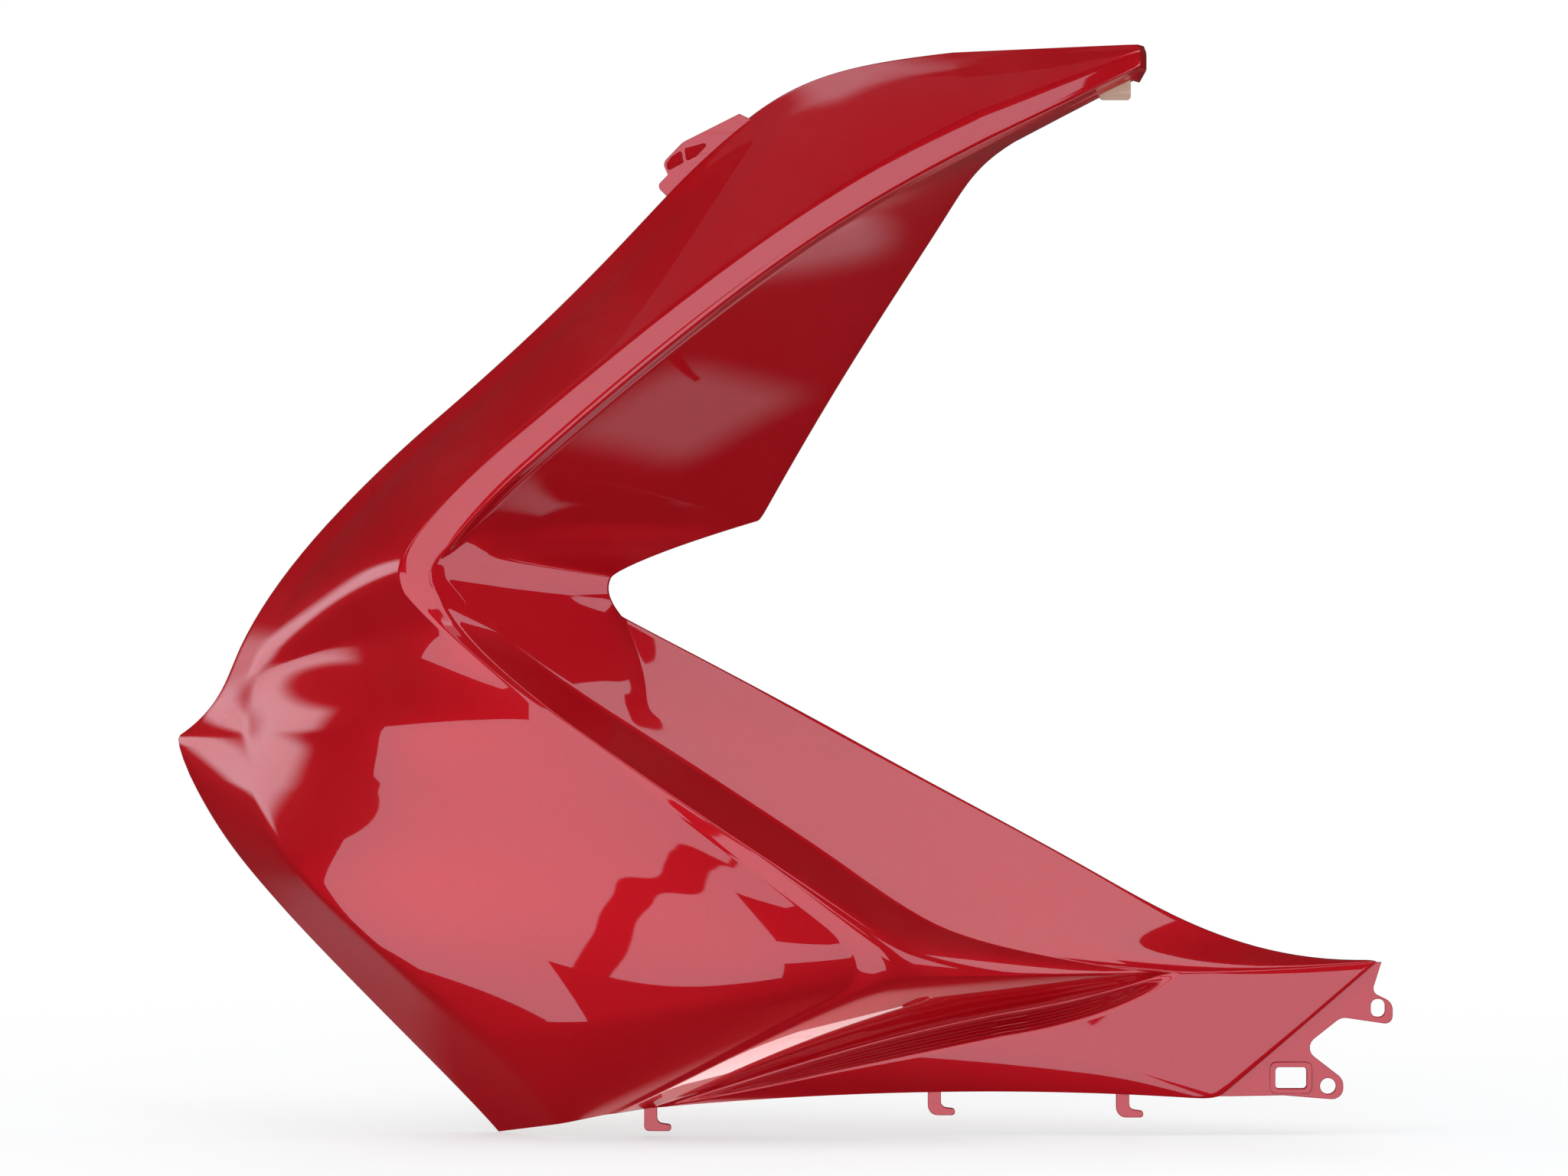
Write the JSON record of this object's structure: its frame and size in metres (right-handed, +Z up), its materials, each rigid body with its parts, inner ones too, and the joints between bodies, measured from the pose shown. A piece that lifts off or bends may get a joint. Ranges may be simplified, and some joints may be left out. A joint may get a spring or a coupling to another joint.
{
  "type": "scooter side cover",
  "caption": "Boomerang-shaped moulded side cover for a scooter's leg shield, with a bulged front panel, a ribbed leg, a vent, rear fixing tabs and hooks along its bottom edge.",
  "frame": {"origin": "centre of the lower rear screw hole, on the outer face of the rear flange", "axes": "+X to the rear of the scooter, +Y into the scooter, +Z up"},
  "size_m": [0.6625, 0.1307, 0.5876],
  "materials": {
    "cover": "metallic red paint under gloss clear coat on moulded ABS"
  },
  "bodies": {
    "root": {"side_cover": "cover"}
  },
  "joints": []
}
